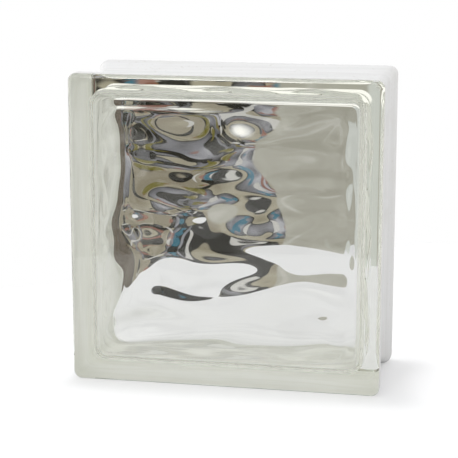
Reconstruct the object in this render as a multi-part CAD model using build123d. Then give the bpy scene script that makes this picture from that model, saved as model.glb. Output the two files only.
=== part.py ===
from build123d import *

import os
from math import cos, hypot, pi, radians, sin, tan
from typing import NamedTuple

# Hollow glass block for walls that let light through.
#
# The block is two pressed half shells, fused along a seam at the middle of its depth into one
# piece of glass round a sealed air space. Its faces are flat outside. The inside of each face
# plate is pressed in waves, and a mortar channel runs round all four edges between the rims.
#
# X is the width, Y the depth with the front face at -Y, and Z is up. The block stands on one of
# its edges, with the origin on the floor under its middle.

# Driving dimensions, in millimetres and degrees

FACE_SIZE = 190.0
BLOCK_DEPTH = 80.0
CORNER_RADIUS = 5.0
FACE_EDGE_RADIUS = 3.0

RIM_WIDTH = 9.0
RIM_BACK_RADIUS = 12.0
SHOULDER_RUN = 17.0
CHANNEL_DEPTH = 5.0
CHANNEL_ROOT_RADIUS = 25.0

SEAM_BEAD_HEIGHT = 0.6
SEAM_BEAD_WIDTH = 4.0

PLATE_THICKNESS = 9.0
WALL_THICKNESS = 6.0
WALL_DRAFT = 2.5
CAVITY_CORNER_RADIUS = 9.0
CAVITY_FILLET = 6.0

PANEL_MARGIN = 2.0
PANEL_CORNER_RADIUS = 12.0
PANEL_RECESS = 0.3
WAVE_FADE = 22.0


class Swell(NamedTuple):
    """One train of pressed waves. Its crests are not straight: they sway from side to side."""

    travel: float
    wavelength: float
    height: float
    sway: float
    sway_length: float
    phase: float


SWELLS = [
    Swell(travel=-42.0, wavelength=60.0, height=1.10, sway=7.0, sway_length=118.0, phase=0.6),
    Swell(travel=21.0, wavelength=78.0, height=0.80, sway=5.0, sway_length=90.0, phase=2.1),
]
WAVE_POINT_SPACING = 6.0

# Dimensions worked out from them. One half is drawn with its seam at level 0 and its face on top.

FACE_LEVEL = BLOCK_DEPTH / 2
RIM_LEVEL = FACE_LEVEL - RIM_WIDTH
SHOULDER_LEVEL = RIM_LEVEL - SHOULDER_RUN
PLATE_LEVEL = FACE_LEVEL - PLATE_THICKNESS

WEB_SIZE = FACE_SIZE - 2 * CHANNEL_DEPTH
CAVITY_PLATE_SIZE = WEB_SIZE - 2 * WALL_THICKNESS
DRAFT_SPREAD = PLATE_LEVEL * tan(radians(WALL_DRAFT))
CAVITY_SEAM_SIZE = CAVITY_PLATE_SIZE + 2 * DRAFT_SPREAD
PANEL_SIZE = CAVITY_PLATE_SIZE - 2 * CAVITY_FILLET - 2 * PANEL_MARGIN
WAVE_REACH = sum(swell.height for swell in SWELLS)

MITRE_TOLERANCE = 0.001


def rounded_square(size, corner_radius, level):
    """A square section with round corners, parallel to the seam and that far from it."""
    return Pos(0, 0, level) * RectangleRounded(size, size, corner_radius)


def edges_at(body, level):
    return body.edges().filter_by_position(Axis.Z, level, level)


def half_section():
    """Section of one half from side to side: the face, its rims, the shoulders and the web."""
    right_side = [
        (WEB_SIZE / 2, 0),
        (WEB_SIZE / 2, SHOULDER_LEVEL),
        (FACE_SIZE / 2, RIM_LEVEL),
        (FACE_SIZE / 2, FACE_LEVEL),
    ]
    left_side = [(-across, level) for across, level in reversed(right_side)]
    section = make_face(Polyline(*right_side, *left_side, close=True))
    rim_backs = section.vertices().filter_by_position(Axis.Y, RIM_LEVEL, RIM_LEVEL)
    section = fillet(rim_backs, RIM_BACK_RADIUS)
    channel_roots = section.vertices().filter_by_position(Axis.Y, SHOULDER_LEVEL, SHOULDER_LEVEL)
    return fillet(channel_roots, CHANNEL_ROOT_RADIUS)


def is_mitre(edge):
    """True for the edges where two sides of the block meet."""
    middle = edge.center()
    return middle.X != 0 and abs(abs(middle.X) - abs(middle.Y)) < MITRE_TOLERANCE


def half_outside():
    """Outside of one half: where the section run one way meets the same run crosswise."""
    run = extrude(Plane.XZ * half_section(), FACE_SIZE / 2, both=True)
    body = run & (Rot(0, 0, 90) * run)
    body = fillet(body.edges().filter_by(is_mitre), CORNER_RADIUS)
    body = fillet(edges_at(body, FACE_LEVEL), FACE_EDGE_RADIUS)
    return body + half_seam_bead()


def half_seam_bead():
    """Half of the low bead that the fused seam leaves round the web."""
    bead_size = WEB_SIZE + 2 * SEAM_BEAD_HEIGHT
    bead_corner_radius = CORNER_RADIUS + SEAM_BEAD_HEIGHT
    half_width = SEAM_BEAD_WIDTH / 2
    bead = extrude(rounded_square(bead_size, bead_corner_radius, 0), half_width)
    return chamfer(edges_at(bead, half_width), SEAM_BEAD_HEIGHT, half_width / 2)


def panel_inset(x, y):
    """Distance inwards from the outline of the wavy panel, negative outside it."""
    straight = PANEL_SIZE / 2 - PANEL_CORNER_RADIUS
    over_x = abs(x) - straight
    over_y = abs(y) - straight
    corner = hypot(max(over_x, 0), max(over_y, 0))
    return PANEL_CORNER_RADIUS - corner - min(max(over_x, over_y), 0)


def wave_level(x, y):
    """Level of the pressed panel inside the plate.

    The waves fade out at the panel's outline, where the panel is sunk a little below the plain
    margin round it.
    """
    height = 0.0
    for swell in SWELLS:
        angle = radians(swell.travel)
        along = x * cos(angle) + y * sin(angle)
        across = y * cos(angle) - x * sin(angle)
        along += swell.sway * sin(2 * pi * across / swell.sway_length + swell.phase)
        height += swell.height * sin(2 * pi * along / swell.wavelength + swell.phase)
    fade = min(max(panel_inset(x, y) / WAVE_FADE, 0), 1)
    height *= fade * fade * (3 - 2 * fade)
    return PLATE_LEVEL + PANEL_RECESS - height


def wave_surface():
    """The wavy inside of a face plate, one smooth face that reaches past the cavity's walls."""
    reach = int(CAVITY_SEAM_SIZE / 2 / WAVE_POINT_SPACING) + 2
    steps = [i * WAVE_POINT_SPACING for i in range(-reach, reach + 1)]
    rows = [[Vector(x, y, wave_level(x, y)) for y in steps] for x in steps]
    return Face.make_surface_from_array_of_points(rows)


def half_cavity():
    """Air space of one half: drafted walls with a rounded end, cut off in the panel at the waves."""
    mouth = rounded_square(CAVITY_SEAM_SIZE, CAVITY_CORNER_RADIUS + DRAFT_SPREAD, 0)
    space = extrude(mouth, PLATE_LEVEL, taper=WALL_DRAFT)
    space = fillet(edges_at(space, PLATE_LEVEL), CAVITY_FILLET)
    wave_room = extrude(rounded_square(PANEL_SIZE, PANEL_CORNER_RADIUS, 0), PLATE_LEVEL + 2 * WAVE_REACH)
    return split(space + wave_room, bisect_by=wave_surface(), keep=Keep.BOTTOM)


def glass_block():
    """Two like halves set mouth to mouth and fused. Turning one round makes the waves cross."""
    half = half_outside() - half_cavity()
    middle = (0, 0, FACE_SIZE / 2)
    front = Plane(origin=middle, x_dir=(1, 0, 0), z_dir=(0, -1, 0)).location * half
    rear = Plane(origin=middle, x_dir=(-1, 0, 0), z_dir=(0, 1, 0)).location * half
    return front + rear


block = glass_block()
os.makedirs("parts", exist_ok=True)
export_step(block, "parts/glass_block.step")
print("solids", len(block.solids()), "volume", round(block.volume), "mm3")
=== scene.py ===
# %% [markdown]
# # A hollow glass block
# A glass block is two pressed half shells of glass, fused mouth to mouth round a pocket of dry air.
# Its faces are flat outside and wavy inside, so a view through it breaks up into soft patches,
# and its edges are painted white where they will meet the mortar.
# The lesson builds that one piece of glass in metres, in the frame of the CAD model, dresses it,
# and sets up a small studio to see it in.

# %% Load the CAD model as a fixed frame
from math import cos, hypot, pi, radians, sin, tan

import bmesh
import bpy
from mathutils import Matrix, Vector


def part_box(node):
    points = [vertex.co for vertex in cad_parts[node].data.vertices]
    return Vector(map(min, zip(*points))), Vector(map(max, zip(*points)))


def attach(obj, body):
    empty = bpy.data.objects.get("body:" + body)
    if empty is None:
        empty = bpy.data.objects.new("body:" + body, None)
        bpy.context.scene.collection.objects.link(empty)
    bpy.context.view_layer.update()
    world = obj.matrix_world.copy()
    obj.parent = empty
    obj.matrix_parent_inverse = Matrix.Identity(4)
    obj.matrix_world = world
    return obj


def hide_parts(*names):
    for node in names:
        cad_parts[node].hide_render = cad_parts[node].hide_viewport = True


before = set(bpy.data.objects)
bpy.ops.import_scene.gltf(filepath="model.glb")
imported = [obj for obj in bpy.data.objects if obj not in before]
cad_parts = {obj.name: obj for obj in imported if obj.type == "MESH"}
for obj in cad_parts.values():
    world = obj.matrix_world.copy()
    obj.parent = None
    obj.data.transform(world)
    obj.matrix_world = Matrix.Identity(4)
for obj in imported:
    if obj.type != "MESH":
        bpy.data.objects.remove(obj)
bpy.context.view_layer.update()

block_low, block_high = (Vector(corner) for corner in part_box("glass_block"))
face_size = block_high.x - block_low.x
block_depth = block_high.y - block_low.y
block_middle = (block_low + block_high) / 2
print("block", [round(size, 4) for size in block_high - block_low], "m")

# %% [markdown]
# ## The section of one half
# All of the block's form is in its section, so that comes first: from the face, round its edge,
# along the rim, down the shoulder into the mortar channel, and over the bead that the fused seam
# leaves. Each point is a level above the seam and an inset from the face's outline.
# Turns in the section are rounded by formula instead of a bevel, because the same points
# then give every ring of the mesh its exact size.

# %% Points of the outside section
MM = 0.001
CORNER_RADIUS = 5 * MM
FACE_EDGE_RADIUS = 3 * MM
RIM_WIDTH = 9 * MM
RIM_BACK_RADIUS = 12 * MM
SHOULDER_RUN = 17 * MM
CHANNEL_DEPTH = 5 * MM
CHANNEL_ROOT_RADIUS = 25 * MM
SEAM_BEAD_HEIGHT = 0.6 * MM
SEAM_BEAD_WIDTH = 4 * MM
FACE_EDGE_STEPS = 10
RIM_BACK_STEPS = 6
CHANNEL_ROOT_STEPS = 8
SEAM_BEAD_STEPS = 6

face_level = block_depth / 2
rim_level = face_level - RIM_WIDTH
shoulder_level = rim_level - SHOULDER_RUN


def rounded_turn(before, turn, after, radius, steps):
    """Points of the arc that rounds one turn of a section line."""
    into = (before - turn).normalized()
    out = (after - turn).normalized()
    half_angle = into.angle(out) / 2
    reach = radius / tan(half_angle)
    centre = turn + (into + out).normalized() * (radius / sin(half_angle))
    first = turn + into * reach - centre
    last = turn + out * reach - centre
    return [centre + radius * first.slerp(last, i / steps) for i in range(steps + 1)]


def seam_bead(steps):
    """The low round bead on the seam, as a half wave."""
    points = []
    for i in range(steps + 1):
        share = i / steps
        rise = SEAM_BEAD_HEIGHT * (1 - cos(pi * share)) / 2
        points.append(Vector((SEAM_BEAD_WIDTH / 2 * (1 - share), CHANNEL_DEPTH - rise)))
    return points


on_face = Vector((face_level, face_size / 4))
face_edge = Vector((face_level, 0))
rim_back = Vector((rim_level, 0))
channel_root = Vector((shoulder_level, CHANNEL_DEPTH))
channel_middle = Vector((0, CHANNEL_DEPTH))
outside_section = (
    rounded_turn(on_face, face_edge, rim_back, FACE_EDGE_RADIUS, FACE_EDGE_STEPS)
    + rounded_turn(face_edge, rim_back, channel_root, RIM_BACK_RADIUS, RIM_BACK_STEPS)
    + rounded_turn(rim_back, channel_root, channel_middle, CHANNEL_ROOT_RADIUS, CHANNEL_ROOT_STEPS)
    + seam_bead(SEAM_BEAD_STEPS)
)
print("outside section", len(outside_section), "points")

# %% [markdown]
# ## The outside skin
# Seen from the front every level of the block is a square with round corners. One ring is a
# one-face grid whose four corners are bevelled as vertices, which rounds them. The rings are bridged
# in order from the face to the seam, the flat face is filled and inset so that its shading stays
# flat right up to the rounded edge, and the other half is a mirror image.

# %% Helpers for the rings
CORNER_STEPS = 12
FACE_SUPPORT = 0.4 * MM
WELD = 0.001 * MM


def everything(bm):
    """All the geometry of a bmesh, for operators that work on the whole."""
    return bm.verts[:] + bm.edges[:] + bm.faces[:]


def open_edges(bm):
    return sum(edge.is_boundary for edge in bm.edges)


def section_ring(bm, inset, corner_radius, level):
    """One closed loop of edges: a square with round corners, at its level above the seam."""
    square = bmesh.ops.create_grid(bm, x_segments=1, y_segments=1, size=face_size / 2 - inset)
    rounded = bmesh.ops.bevel(
        bm, geom=square["verts"], offset=corner_radius, affect="VERTICES",
        segments=CORNER_STEPS, profile=0.5, material=-1,
    )
    face = rounded["verts"][0].link_faces[0]
    bmesh.ops.translate(bm, verts=face.verts, vec=(0, 0, level))
    edges = list(face.edges)
    bmesh.ops.delete(bm, geom=[face], context="FACES_ONLY")
    return edges


def corner_radius_at(level, inset):
    """Every level has the same corner, but the face's edge and the seam bead roll round it."""
    if level > face_level - FACE_EDGE_RADIUS:
        return CORNER_RADIUS - inset
    if level < SEAM_BEAD_WIDTH / 2:
        return CORNER_RADIUS + CHANNEL_DEPTH - inset
    return CORNER_RADIUS


# %% Rings, bridged from the face to the seam
outside = bmesh.new()
rings = [
    section_ring(outside, inset, corner_radius_at(level, inset), level)
    for level, inset in outside_section
]
for ring, next_ring in zip(rings, rings[1:]):
    bmesh.ops.bridge_loops(outside, edges=ring + next_ring)
face_fill = bmesh.ops.contextual_create(outside, geom=rings[0])["faces"]
bmesh.ops.inset_region(outside, faces=face_fill, thickness=FACE_SUPPORT, use_even_offset=True)
bmesh.ops.mirror(outside, geom=everything(outside), axis="Z", merge_dist=WELD)
bmesh.ops.remove_doubles(outside, verts=outside.verts, dist=WELD)
bmesh.ops.recalc_face_normals(outside, faces=outside.faces)
print("outside skin", len(outside.faces), "faces,", open_edges(outside), "open edges")

# %% [markdown]
# ## The waves
# The inside of each face plate is pressed in waves. They could be a bump map, but bump bends
# only the shading: light that passes through glass needs the real slope. So the waves are a sum
# of a few trains, each a sine whose crests sway. The long swells fade out slowly towards the
# panel's outline, the fine ripples run on almost to its edge, and there the plate ends in a plain
# rounded margin.

# %% The wave formula, with the solid's swells and finer ripples
PLATE_THICKNESS = 9 * MM
WALL_THICKNESS = 6 * MM
CAVITY_CORNER_RADIUS = 9 * MM
CAVITY_FILLET = 6 * MM
PANEL_MARGIN = 2 * MM
PANEL_CORNER_RADIUS = 12 * MM
PANEL_RECESS = 0.3 * MM
RECESS_RUN = 3 * MM
WAVE_FADE = 22 * MM
RIPPLE_FADE = 4 * MM

# Direction of travel in degrees, then wavelength, height, sway and sway length in mm, and phase
SWELLS = (
    (-42.0, 60.0, 1.10, 7.0, 118.0, 0.6),
    (21.0, 78.0, 0.80, 5.0, 90.0, 2.1),
)
RIPPLES = (
    (95.6, 30.3, 0.52, 3.8, 95.0, 0.74),
    (-42.2, 37.4, 0.19, 1.9, 60.8, 2.52),
    (98.6, 19.8, 0.17, 1.5, 53.6, 4.77),
)

plate_level = face_level - PLATE_THICKNESS
cavity_half = face_size / 2 - CHANNEL_DEPTH - WALL_THICKNESS
plate_half = cavity_half - CAVITY_FILLET
panel_half = plate_half - PANEL_MARGIN


def panel_inset(x, y):
    """Distance inwards from the outline of the wavy panel, negative outside it."""
    over_x = abs(x) - panel_half + PANEL_CORNER_RADIUS
    over_y = abs(y) - panel_half + PANEL_CORNER_RADIUS
    corner = hypot(max(over_x, 0), max(over_y, 0))
    return PANEL_CORNER_RADIUS - corner - min(max(over_x, over_y), 0)


def ease(share):
    """Goes from 0 to 1 with a soft start and a soft end."""
    share = min(max(share, 0), 1)
    return share * share * (3 - 2 * share)


def train_height(trains, x, y):
    """Height of a set of wave trains, added up."""
    height = 0.0
    for travel, wavelength, crest, sway, sway_length, phase in trains:
        angle = radians(travel)
        along = (x * cos(angle) + y * sin(angle)) / MM
        across = (y * cos(angle) - x * sin(angle)) / MM
        along += sway * sin(2 * pi * across / sway_length + phase)
        height += crest * MM * sin(2 * pi * along / wavelength + phase)
    return height


def wave_height(x, y):
    """How far the glass stands into the air space."""
    inset = panel_inset(x, y)
    swell = train_height(SWELLS, x, y) * ease(inset / WAVE_FADE)
    ripple = train_height(RIPPLES, x, y) * ease(inset / RIPPLE_FADE)
    return swell + ripple - PANEL_RECESS * ease(inset / RECESS_RUN)


print("wave in the middle of the panel", round(wave_height(0, 0) / MM, 2), "mm")

# %% [markdown]
# ## The loops of the air space
# From the plate's edge to the seam the air space is a stack of outlines: round the inside edge,
# down the drafted wall, and over the little bead that the seam leaves inside too. Pressed walls are
# never quite flat, so a slow ripple drifts along them. It is a cosine, which is the same to the left
# and to the right, so the two halves still meet at the seam when one of them is turned round.

# %% Outlines from the plate's edge to the seam
WALL_DRAFT = radians(2.5)
FILLET_STEPS = 14
WALL_STEPS = 6
INNER_BEAD_HEIGHT = 1.0 * MM
INNER_BEAD_WIDTH = 6 * MM
BEAD_STEPS = 8
WALL_RIPPLE = 0.7 * MM
WALL_RIPPLE_LENGTH = 50 * MM
WALL_RIPPLE_START = 2


def on_round_square(x, y, half, radius):
    """Moves a point of a square's outline to the outline of a square with round corners."""
    stretch = half / max(abs(x), abs(y))
    x, y = x * stretch, y * stretch
    core = half - radius
    if abs(x) > core and abs(y) > core:
        swing = (min(abs(x), abs(y)) - core) / radius * pi / 4
        turn = swing if abs(x) > abs(y) else pi / 2 - swing
        x = (core + radius * cos(turn)) * (1 if x > 0 else -1)
        y = (core + radius * sin(turn)) * (1 if y > 0 else -1)
    return x, y


def cavity_loops():
    """Level, half size and corner radius of each loop, from the plate's edge to the seam."""
    loops = []
    for i in range(1, FILLET_STEPS + 1):
        turn = (pi / 2 - WALL_DRAFT) * i / FILLET_STEPS
        step_out = CAVITY_FILLET * sin(turn)
        loops.append((plate_level - CAVITY_FILLET * (1 - cos(turn)), plate_half + step_out))
    wall_top, wall_half = loops[-1]
    for i in range(1, WALL_STEPS + 1):
        level = wall_top + (INNER_BEAD_WIDTH / 2 - wall_top) * i / WALL_STEPS
        loops.append((level, wall_half + (wall_top - level) * tan(WALL_DRAFT)))
    for i in range(1, BEAD_STEPS + 1):
        share = i / BEAD_STEPS
        level = INNER_BEAD_WIDTH / 2 * (1 - share)
        rise = INNER_BEAD_HEIGHT * (1 - cos(pi * share)) / 2
        loops.append((level, wall_half + (wall_top - level) * tan(WALL_DRAFT) - rise))
    return [(level, half, CAVITY_CORNER_RADIUS - cavity_half + half) for level, half in loops]


def wall_ripple(x, y, level):
    """How far the wall stands out. The ripple starts two fillet radii below the plate."""
    along = min(abs(x), abs(y)) * (1 if x * y > 0 else -1)
    turn = 2 * pi * (along - level) / WALL_RIPPLE_LENGTH
    return WALL_RIPPLE * cos(turn) * ease((plate_level - level) / CAVITY_FILLET - WALL_RIPPLE_START)


print("air space", len(cavity_loops()), "loops from the plate to the seam")

# %% [markdown]
# ## The air space
# The air space is a skin of its own inside the glass. It starts as a fine grid, lifted by the
# wave formula. Its open boundary is then extruded again and again, and after each extrusion
# the new loop is set on its own square outline with round corners.
# The rear half is the same piece turned round, as it comes from the same mould, so the two
# sets of waves cross. Its faces point into the air, which is out of the glass.

# %% Grid, boundary loops and the turned second half
PLATE_STEPS = 136
plate_corner_radius = CAVITY_CORNER_RADIUS - CAVITY_FILLET

cavity = bmesh.new()
address = cavity.verts.layers.float_vector.new("address")
bmesh.ops.create_grid(cavity, x_segments=PLATE_STEPS, y_segments=PLATE_STEPS, size=plate_half)
boundary = [edge for edge in cavity.edges if edge.is_boundary]
for vert in {vert for edge in boundary for vert in edge.verts}:
    vert[address] = vert.co
    vert.co.xy = on_round_square(vert.co.x, vert.co.y, plate_half, plate_corner_radius)
for vert in cavity.verts:
    vert.co.z = plate_level - wave_height(vert.co.x, vert.co.y)
for level, half, radius in cavity_loops():
    extruded = bmesh.ops.extrude_edge_only(cavity, edges=boundary)["geom"]
    boundary = [part for part in extruded if isinstance(part, bmesh.types.BMEdge) and part.is_boundary]
    for vert in {vert for edge in boundary for vert in edge.verts}:
        x, y, _ = vert[address]
        vert.co = (*on_round_square(x, y, half + wall_ripple(x, y, level), radius), level)
cavity.verts.layers.float_vector.remove(address)
rear_half = bmesh.ops.duplicate(cavity, geom=everything(cavity))["geom"]
rear_verts = [part for part in rear_half if isinstance(part, bmesh.types.BMVert)]
bmesh.ops.rotate(cavity, verts=rear_verts, matrix=Matrix.Rotation(pi, 3, "Y"))
bmesh.ops.remove_doubles(cavity, verts=cavity.verts, dist=WELD)
bmesh.ops.recalc_face_normals(cavity, faces=cavity.faces)
bmesh.ops.reverse_faces(cavity, faces=cavity.faces)
print("air space", len(cavity.faces), "faces,", open_edges(cavity), "open edges")

# %% [markdown]
# ## One piece of glass
# The two skins go into one mesh, because they are the two surfaces of one piece of glass: light
# enters it at one and leaves it at the other. The drawing stood with its seam at level 0, so it is
# turned upright and moved to the middle of the block. The painted edge takes a second
# material slot: paint has no thickness worth modelling, and it shows through the glass from inside.

# %% Join the skins, stand the block up and mark the painted edge
GLASS_SLOT, PAINT_SLOT = 0, 1
PAINT_START = 0.6

paint_level = face_level - FACE_EDGE_RADIUS * PAINT_START
for face in outside.faces:
    face.material_index = PAINT_SLOT if abs(face.calc_center_median().z) < paint_level else GLASS_SLOT
air_mesh = bpy.data.meshes.new("air_space")
cavity.to_mesh(air_mesh)
outside.from_mesh(air_mesh)
bpy.data.meshes.remove(air_mesh)
for face in outside.faces:
    face.smooth = True
upright = Matrix.Translation(block_middle) @ Matrix.Rotation(pi / 2, 4, "X")
bmesh.ops.transform(outside, matrix=upright, verts=outside.verts)
block_mesh = bpy.data.meshes.new("block_glass")
outside.to_mesh(block_mesh)
block_glass = bpy.data.objects.new("block_glass", block_mesh)
bpy.context.scene.collection.objects.link(block_glass)
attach(block_glass, "root")
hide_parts("glass_block")
triangles = sum(len(polygon.vertices) - 2 for polygon in block_mesh.polygons)
print("block_glass", triangles, "triangles")

# %% [markdown]
# ## Handling marks
# A block that has been stacked and carried has faint cloudy smudges and fine dust on it, on the
# glass and on the paint alike. Both finishes need the same marks at their own strength, so they are
# a node group: one network, placed in each material with its own values.
# A small helper for each kind of node keeps a network readable. It adds the node to the tree in hand,
# wires its inputs and hands its output back. A number or a colour goes on the socket, an output of
# another node is linked to it.

# %% Helpers for noise and arithmetic
def feed(socket, value):
    """Links an output to a socket, or sets the socket to a number or a colour."""
    if isinstance(value, bpy.types.NodeSocket):
        links.new(value, socket)
    elif isinstance(value, tuple):
        socket.default_value = (*value, 1)
    else:
        socket.default_value = value


def noise(vector, detail, distortion, scale=1.0):
    node = nodes.new("ShaderNodeTexNoise")
    feed(node.inputs["Vector"], vector)
    feed(node.inputs["Scale"], scale)
    feed(node.inputs["Detail"], detail)
    feed(node.inputs["Distortion"], distortion)
    return node.outputs["Fac"]


def between(value, low, high, start=0.0, end=1.0):
    """Goes smoothly from start to end while the value goes from low to high."""
    node = nodes.new("ShaderNodeMapRange")
    node.interpolation_type = "SMOOTHSTEP"
    feed(node.inputs["Value"], value)
    feed(node.inputs["From Min"], low)
    feed(node.inputs["From Max"], high)
    feed(node.inputs["To Min"], start)
    feed(node.inputs["To Max"], end)
    return node.outputs["Result"]


def calculate(operation, a, b):
    node = nodes.new("ShaderNodeMath")
    node.operation = operation
    feed(node.inputs[0], a)
    feed(node.inputs[1], b)
    return node.outputs["Value"]


# %% Node group of smudges and specks
SPECKS_PER_SMUDGE = 14.0

marks = bpy.data.node_groups.new("handling_marks", "ShaderNodeTree")
for name, in_out, default in (
    ("Size", "INPUT", 0.03), ("Amount", "INPUT", 0.5), ("Smudge", "OUTPUT", 0.0), ("Speck", "OUTPUT", 0.0)
):
    socket = marks.interface.new_socket(name, in_out=in_out, socket_type="NodeSocketFloat")
    socket.default_value = default
nodes, links = marks.nodes, marks.links
group_in, group_out = nodes.new("NodeGroupInput"), nodes.new("NodeGroupOutput")
place = nodes.new("ShaderNodeTexCoord").outputs["Object"]
per_metre = calculate("DIVIDE", 1.0, group_in.outputs["Size"])
cloud = between(noise(place, detail=3.0, distortion=0.4, scale=per_metre), 0.48, 0.72)
fine = calculate("MULTIPLY", per_metre, SPECKS_PER_SMUDGE)
dust = between(noise(place, detail=0.0, distortion=0.0, scale=fine), 0.74, 0.80)
feed(group_out.inputs["Smudge"], calculate("MULTIPLY", cloud, group_in.outputs["Amount"]))
feed(group_out.inputs["Speck"], calculate("MULTIPLY", dust, group_in.outputs["Amount"]))


def handling_marks(size, amount):
    """Places the group in the tree in hand. Returns its smudges and its specks."""
    node = nodes.new("ShaderNodeGroup")
    node.node_tree = marks
    node.inputs["Size"].default_value = size
    node.inputs["Amount"].default_value = amount
    return node.outputs["Smudge"], node.outputs["Speck"]


print("handling marks", len(marks.nodes), "nodes")

# %% [markdown]
# ## Clear pressed glass
# Block glass is soda-lime glass with a trace of iron, so it is grey-green wherever light runs a long
# way inside it. That belongs in a volume, not in the surface colour. The mould leaves faint
# chill wrinkles on the skin, finer than the waves: these are small enough for a bump.

# %% Helpers for materials
def new_material(name):
    material = bpy.data.materials.new(name)
    material.use_nodes = True
    return material, material.node_tree.nodes, material.node_tree.links


def mix(factor, a, b):
    node = nodes.new("ShaderNodeMix")
    node.data_type = "RGBA"
    feed(node.inputs["Factor"], factor)
    feed(node.inputs["A"], a)
    feed(node.inputs["B"], b)
    return node.outputs["Result"]


def turned(vector, tilt, size):
    """The coordinates for a pattern that is tilted about Y and has that size along its own axes."""
    node = nodes.new("ShaderNodeMapping")
    node.vector_type = "TEXTURE"
    feed(node.inputs["Vector"], vector)
    node.inputs["Rotation"].default_value = (0, radians(tilt), 0)
    node.inputs["Scale"].default_value = size
    return node.outputs["Vector"]


def bump(height, depth, strength):
    """A normal for the shader from a height, where full height is that deep in metres."""
    node = nodes.new("ShaderNodeBump")
    feed(node.inputs["Height"], height)
    node.inputs["Distance"].default_value = depth
    node.inputs["Strength"].default_value = strength
    return node.outputs["Normal"]


# %% Glass material
GLASS_IOR = 1.52
GLASS_TINT = (0.87, 0.885, 0.81)
TINT_DENSITY = 5.5
SMUDGE_ROUGHNESS = 0.012
WRINKLE_SIZE = (0.040, 0.040, 0.016)
WRINKLE_DEPTH = 0.0002

glass, nodes, links = new_material("pressed_glass")
shader = nodes["Principled BSDF"]
place = nodes.new("ShaderNodeTexCoord").outputs["Object"]
smudge, _ = handling_marks(size=0.05, amount=1.0)
wrinkles = noise(turned(place, tilt=35, size=WRINKLE_SIZE), detail=1.0, distortion=0.6)
feed(shader.inputs["Base Color"], mix(smudge, (0.985, 0.987, 0.98), (0.965, 0.967, 0.96)))
feed(shader.inputs["Roughness"], between(smudge, 0.0, 1.0, 0.0, SMUDGE_ROUGHNESS))
feed(shader.inputs["Normal"], bump(wrinkles, depth=WRINKLE_DEPTH, strength=0.1))
shader.inputs["IOR"].default_value = GLASS_IOR
shader.inputs["Transmission Weight"].default_value = 1.0
absorption = nodes.new("ShaderNodeVolumeAbsorption")
absorption.inputs["Color"].default_value = (*GLASS_TINT, 1)
absorption.inputs["Density"].default_value = TINT_DENSITY
links.new(absorption.outputs["Volume"], nodes["Material Output"].inputs["Volume"])
block_mesh.materials.append(glass)
print("pressed glass", len(nodes), "nodes")

# %% [markdown]
# ## Edge paint
# The edges are coated white, so that mortar holds on them and the joint behind them doesn't show.
# The coat is brushed on round the edge: its streaks run along each side, so the noise is
# stretched along the width and the height and stays fine through the depth. Seen through the glass
# the coat is painted far brighter, with broad soft flow marks: painted light, standing in for light
# that reaches the inside of the paint only through the glass. Outside it is duller, and Backfacing tells
# the two apart.

# %% Paint material
STREAK_SIZE = (0.11, 0.0024, 0.11)
STREAK_DEPTH = 0.0003
FLOW_SIZE = (0.07, 0.006, 0.07)

paint, nodes, links = new_material("edge_paint")
shader = nodes["Principled BSDF"]
geometry = nodes.new("ShaderNodeNewGeometry")
place = nodes.new("ShaderNodeTexCoord").outputs["Object"]
smudge, speck = handling_marks(size=0.03, amount=1.0)
streaks = noise(turned(place, tilt=0, size=STREAK_SIZE), detail=3.0, distortion=0.3)
coat = mix(between(streaks, 0.3, 0.7), (0.70, 0.70, 0.695), (0.75, 0.75, 0.75))
coat = mix(between(smudge, 0.0, 1.0, 0.0, 0.5), coat, (0.68, 0.675, 0.66))
coat = mix(between(speck, 0.0, 1.0, 0.0, 0.25), coat, (0.50, 0.48, 0.44))
flow = noise(turned(place, tilt=0, size=FLOW_SIZE), detail=1.0, distortion=1.2)
# Painted light: the inside of the paint is a much brighter copy of the coat, with soft flow marks
brightened_inside = mix(between(flow, 0.38, 0.62), (0.94, 0.94, 0.92), (0.985, 0.985, 0.975))
# Backfacing puts the painted-light copy where the paint is seen through the glass, the duller coat
# outside
feed(shader.inputs["Base Color"], mix(geometry.outputs["Backfacing"], coat, brightened_inside))
feed(shader.inputs["Roughness"], between(streaks, 0.2, 0.8, 0.95, 0.80))
feed(shader.inputs["Normal"], bump(streaks, depth=STREAK_DEPTH, strength=0.4))
shader.inputs["Specular IOR Level"].default_value = 0.0
block_mesh.materials.append(paint)
print("edge paint", len(nodes), "nodes")

# %% [markdown]
# ## The floor
# A pale round floor carries the shadow. It stops over a quarter of a metre behind the block: through
# the lower part of the glass you look down on the floor, and through the upper part past its edge,
# which runs askew. It lies a hair below the block, because a ray can't tell two surfaces in one plane
# apart. A little glow for the camera alone lifts it towards the white of the background.

# %% Floor
FLOOR_RADIUS = 0.40
FLOOR_SEGMENTS = 128
FLOOR_BACK_EDGE = 0.318
FLOOR_EDGE_HEADING = radians(36)
FLOOR_GAP = 0.05 * MM
FLOOR_COLOUR = (0.74, 0.74, 0.745)
FLOOR_GLOW = 0.25

edge_normal = (-sin(FLOOR_EDGE_HEADING), cos(FLOOR_EDGE_HEADING), 0)
floor_form = bmesh.new()
bmesh.ops.create_circle(floor_form, cap_ends=True, segments=FLOOR_SEGMENTS, radius=FLOOR_RADIUS)
bmesh.ops.bisect_plane(
    floor_form, geom=everything(floor_form), plane_co=(0, FLOOR_BACK_EDGE, 0),
    plane_no=edge_normal, clear_outer=True,
)
bmesh.ops.translate(floor_form, verts=floor_form.verts, vec=(0, 0, -FLOOR_GAP))
floor_mesh = bpy.data.meshes.new("studio_floor")
floor_form.to_mesh(floor_mesh)
floor = bpy.data.objects.new("studio_floor", floor_mesh)
bpy.context.scene.collection.objects.link(floor)

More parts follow.
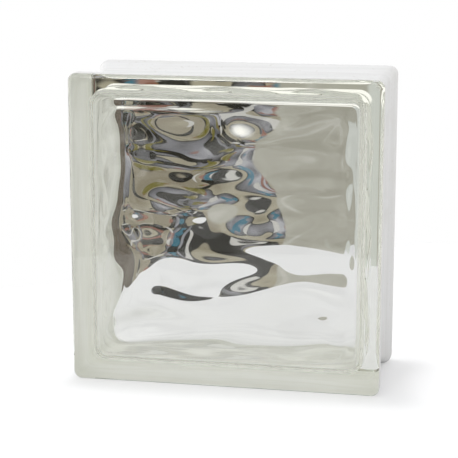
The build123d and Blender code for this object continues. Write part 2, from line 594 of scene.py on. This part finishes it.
white, nodes, links = new_material("white_floor")
shader = nodes["Principled BSDF"]
shader.inputs["Base Color"].default_value = (*FLOOR_COLOUR, 1)
shader.inputs["Roughness"].default_value = 0.9
shader.inputs["Specular IOR Level"].default_value = 0.1
shader.inputs["Emission Color"].default_value = (1, 1, 1, 1)
sight = nodes.new("ShaderNodeLightPath")
camera_glow = between(sight.outputs["Is Camera Ray"], 0.0, 1.0, 0.0, FLOOR_GLOW)
feed(shader.inputs["Emission Strength"], camera_glow)
floor_mesh.materials.append(white)
print("floor", len(floor_mesh.polygons), "face,", len(floor_mesh.vertices), "corners")

# %% [markdown]
# ## The painted screen
# Clear glass has hardly a colour of its own: it shows what stands behind it. So a painted screen
# stands about 0.3 m behind the block. Its left is busy with browns, greys and a few dabs of colour,
# its right is plain. The pattern could be in the world, but a picture at a real distance keeps its
# place when the waves bend the view, so the busy part stays on the left.
# The screen glows by itself. It casts no shadow, and it is hidden from the camera and from rays
# straight off the floor or the paint, so that only rays which the glass bends or mirrors see it.

# %% Screen
SCREEN_WIDTH = 2.0
SCREEN_HEIGHT = 0.9
SCREEN_BEHIND = 0.32

screen_form = bmesh.new()
bmesh.ops.create_grid(screen_form, x_segments=1, y_segments=1, size=0.5)
bmesh.ops.scale(screen_form, verts=screen_form.verts, vec=(SCREEN_WIDTH, SCREEN_HEIGHT, 1))
bmesh.ops.rotate(screen_form, verts=screen_form.verts, matrix=Matrix.Rotation(pi / 2, 3, "X"))
bmesh.ops.translate(screen_form, verts=screen_form.verts, vec=(0, SCREEN_BEHIND, 0))
screen_mesh = bpy.data.meshes.new("painted_screen")
screen_form.to_mesh(screen_mesh)
screen = bpy.data.objects.new("painted_screen", screen_mesh)
screen.visible_camera = False
screen.visible_diffuse = False
screen.visible_shadow = False
bpy.context.scene.collection.objects.link(screen)
print("screen", [round(size, 2) for size in screen.dimensions], "m")

# %% [markdown]
# ## The picture on the screen
# The picture is painted in layers of noise, each with its own tilt and size, because one noise with
# many bands looks like a map. Patches come first, warm below and grey above, then dark shades, light
# strokes and dabs of colour. A dark margin closes the left. The plain part lies over the right, and a
# pale top gives the wavy walls something bright to mirror.
# The picture is for the eye alone: a ray that the paint has scattered finds it plain white, or the
# dark picture would dim the white edges from inside.

# %% Helpers for the picture
def ramp(value, stops):
    node = nodes.new("ShaderNodeValToRGB")
    elements = node.color_ramp.elements
    elements.remove(elements[-1])
    elements[0].position, elements[0].color = stops[0][0], (*stops[0][1], 1)
    for position, color in stops[1:]:
        elements.new(position).color = (*color, 1)
    feed(node.inputs["Fac"], value)
    return node.outputs["Color"]


def apart(vector):
    node = nodes.new("ShaderNodeSeparateXYZ")
    feed(node.inputs["Vector"], vector)
    return node.outputs


# %% Busy part of the picture
OUTLINE = (0.02, 0.018, 0.012)

screen_paint, nodes, links = new_material("screen_paint")
place = nodes.new("ShaderNodeTexCoord").outputs["Object"]
across, _, up = apart(place)
patches = noise(turned(place, tilt=35, size=(0.055, 0.055, 0.042)), detail=1.0, distortion=0.6)
higher_greyer = calculate("ADD", patches, between(up, -0.03, 0.13, -0.05, 0.05))
picture = ramp(higher_greyer, [
    (0.36, (0.28, 0.25, 0.18)),
    (0.475, (0.38, 0.35, 0.26)),
    (0.49, OUTLINE),
    (0.51, (0.11, 0.108, 0.11)),
    (0.60, (0.24, 0.24, 0.26)),
    (0.70, (0.42, 0.42, 0.44)),
])
shades = noise(turned(place, tilt=-35, size=(0.022, 0.022, 0.050)), detail=0.5, distortion=0.8)
picture = mix(between(shades, 0.55, 0.59), picture, OUTLINE)
lights = noise(turned(place, tilt=60, size=(0.014, 0.014, 0.042)), detail=0.0, distortion=0.5)
picture = mix(between(lights, 0.64, 0.70), picture, (0.55, 0.54, 0.51))
hues = ramp(noise(place, detail=0.0, distortion=0.0, scale=16.0), [
    (0.40, (0.05, 0.18, 0.25)),
    (0.45, (0.30, 0.13, 0.09)),
    (0.55, (0.26, 0.11, 0.07)),
    (0.60, (0.17, 0.15, 0.02)),
])
dabs = noise(turned(place, tilt=10, size=(0.030, 0.030, 0.014)), detail=0.0, distortion=0.5)
picture = mix(between(dabs, 0.64, 0.69, 0.0, 0.85), picture, hues)
print("busy part", len(nodes), "nodes")

# %% Margin, plain part, pale top and glow
MARGIN_EDGE = (-0.235, -0.210)
PLAIN_LEAN = 7.5
PLAIN_EDGE = (-0.045, -0.039)
PALE_EDGE = (0.046, 0.050)
TOP_EDGE = (0.150, 0.190)

picture = mix(between(across, *MARGIN_EDGE, 0.9, 0.0), picture, (0.09, 0.065, 0.04))
leaning, _, _ = apart(turned(place, tilt=PLAIN_LEAN, size=(1, 1, 1)))
sheen = noise(turned(place, tilt=-45, size=(0.09, 0.09, 0.02)), detail=1.0, distortion=0.4)
plain = ramp(sheen, [(0.35, (0.39, 0.38, 0.32)), (0.6, (0.44, 0.43, 0.37)), (0.75, (0.56, 0.55, 0.50))])
picture = mix(between(leaning, *PLAIN_EDGE), picture, plain)
picture = mix(between(across, *PALE_EDGE), picture, (0.62, 0.64, 0.60))
picture = mix(between(up, *TOP_EDGE), picture, (1.15, 1.14, 1.07))
scattered = nodes.new("ShaderNodeLightPath").outputs["Diffuse Depth"]
picture = mix(between(scattered, 0.0, 1.0), picture, (0.95, 0.95, 0.93))
glow = nodes.new("ShaderNodeEmission")
links.new(picture, glow.inputs["Color"])
links.new(glow.outputs["Emission"], nodes["Material Output"].inputs["Surface"])
nodes.remove(nodes["Principled BSDF"])
screen_mesh.materials.append(screen_paint)
print("screen paint", len(nodes), "nodes")

# %% [markdown]
# ## The light tent
# All round stands a white tent, brighter on the left than on the right and dimmer overhead, with a
# dark opening low in front where the camera looks in. It is a mix on the direction of the ray, in the
# world. Straight from the camera the world is white, for a clean background.

# %% World
TENT_LEFT = (1.6, 1.6, 1.58)
TENT_RIGHT = (1.2, 1.19, 1.17)
TENT_OVERHEAD = (0.30, 0.31, 0.34)
TENT_OPENING = (0.08, 0.08, 0.08)

world = bpy.data.worlds.new("light_tent")
bpy.context.scene.world = world
world.use_nodes = True
nodes, links = world.node_tree.nodes, world.node_tree.links
across, ahead, up = apart(nodes.new("ShaderNodeTexCoord").outputs["Generated"])
sides = mix(between(across, -0.5, 0.6), TENT_LEFT, TENT_RIGHT)
tent = mix(between(up, 0.5, 0.9), sides, TENT_OVERHEAD)
front = mix(between(up, 0.1, 0.35), TENT_OPENING, tent)
surround = mix(between(ahead, -0.72, -0.88), tent, front)
sight = nodes.new("ShaderNodeLightPath")
seen = mix(sight.outputs["Is Camera Ray"], surround, (1, 1, 1))
links.new(seen, nodes["Background"].inputs["Color"])
print("light tent", len(nodes), "nodes")

# %% [markdown]
# ## Two softboxes
# A tent alone gives hardly any shadow and no glints. A small softbox overhead sets the block on the
# floor with a soft shadow, and one in front lights the face's edges. Neither is seen through the
# glass, and the upper one isn't mirrored in it either, to keep small hard glints out of the walls.

# %% Lights
def softbox(name, place, size, energy):
    light = bpy.data.lights.new(name, "AREA")
    light.shape = "SQUARE"
    light.size = size
    light.energy = energy
    box = bpy.data.objects.new(name, light)
    box.location = place
    box.rotation_euler = (block_middle - box.location).to_track_quat("-Z", "Y").to_euler()
    box.visible_transmission = False
    bpy.context.scene.collection.objects.link(box)
    print(name, size, "m wide,", energy, "W")
    return box


top_softbox = softbox("top_softbox", place=(-0.06, 0.06, 1.4), size=0.16, energy=5)
top_softbox.visible_glossy = False
softbox("front_softbox", place=(-0.30, -1.30, 0.42), size=0.35, energy=1.5)

# %% [markdown]
# ## The camera
# The camera stands a little to the right of the block and a little above it, nearly a metre away.
# Its focal length is known in pixels of a square picture, and a lens is given in millimetres on the
# sensor, so the one is worked out from the other.

# %% Camera
CAMERA_AZIMUTH = radians(11.53)
CAMERA_ELEVATION = radians(12.29)
CAMERA_DISTANCE = 0.9667
CAMERA_TARGET = Vector((-4.41 * MM, 0, 90.27 * MM))
FOCAL_PIXELS = 1554.4
IMAGE_PIXELS = 458
SENSOR_WIDTH = 36

camera_data = bpy.data.cameras.new("camera")
camera_data.sensor_width = SENSOR_WIDTH
camera_data.lens = FOCAL_PIXELS / IMAGE_PIXELS * SENSOR_WIDTH
camera = bpy.data.objects.new("camera", camera_data)
back = Vector((
    sin(CAMERA_AZIMUTH) * cos(CAMERA_ELEVATION),
    -cos(CAMERA_AZIMUTH) * cos(CAMERA_ELEVATION),
    sin(CAMERA_ELEVATION),
))
camera.location = CAMERA_TARGET + back * CAMERA_DISTANCE
camera.rotation_euler = back.to_track_quat("Z", "Y").to_euler()
bpy.context.scene.collection.objects.link(camera)
bpy.context.scene.camera = camera
print("lens", round(camera_data.lens, 1), "mm")

# %% [markdown]
# ## Light paths
# A ray straight through the block crosses four surfaces, and in the edges it can run to and fro many
# times, so it may bounce more often than Blender's defaults allow. Filter Glossy is off: it saves
# noise by blurring the glass for rays that a rough surface has scattered, at the cost of accuracy.

# %% Render settings that belong to the look
GLASS_BOUNCES = 32
OTHER_BOUNCES = 16

scene = bpy.context.scene
scene.view_settings.view_transform = "Standard"
scene.cycles.max_bounces = GLASS_BOUNCES
scene.cycles.transmission_bounces = GLASS_BOUNCES
scene.cycles.glossy_bounces = OTHER_BOUNCES
scene.cycles.diffuse_bounces = OTHER_BOUNCES
scene.cycles.use_denoising = True
scene.cycles.blur_glossy = 0.0
print("bounces", scene.cycles.max_bounces)
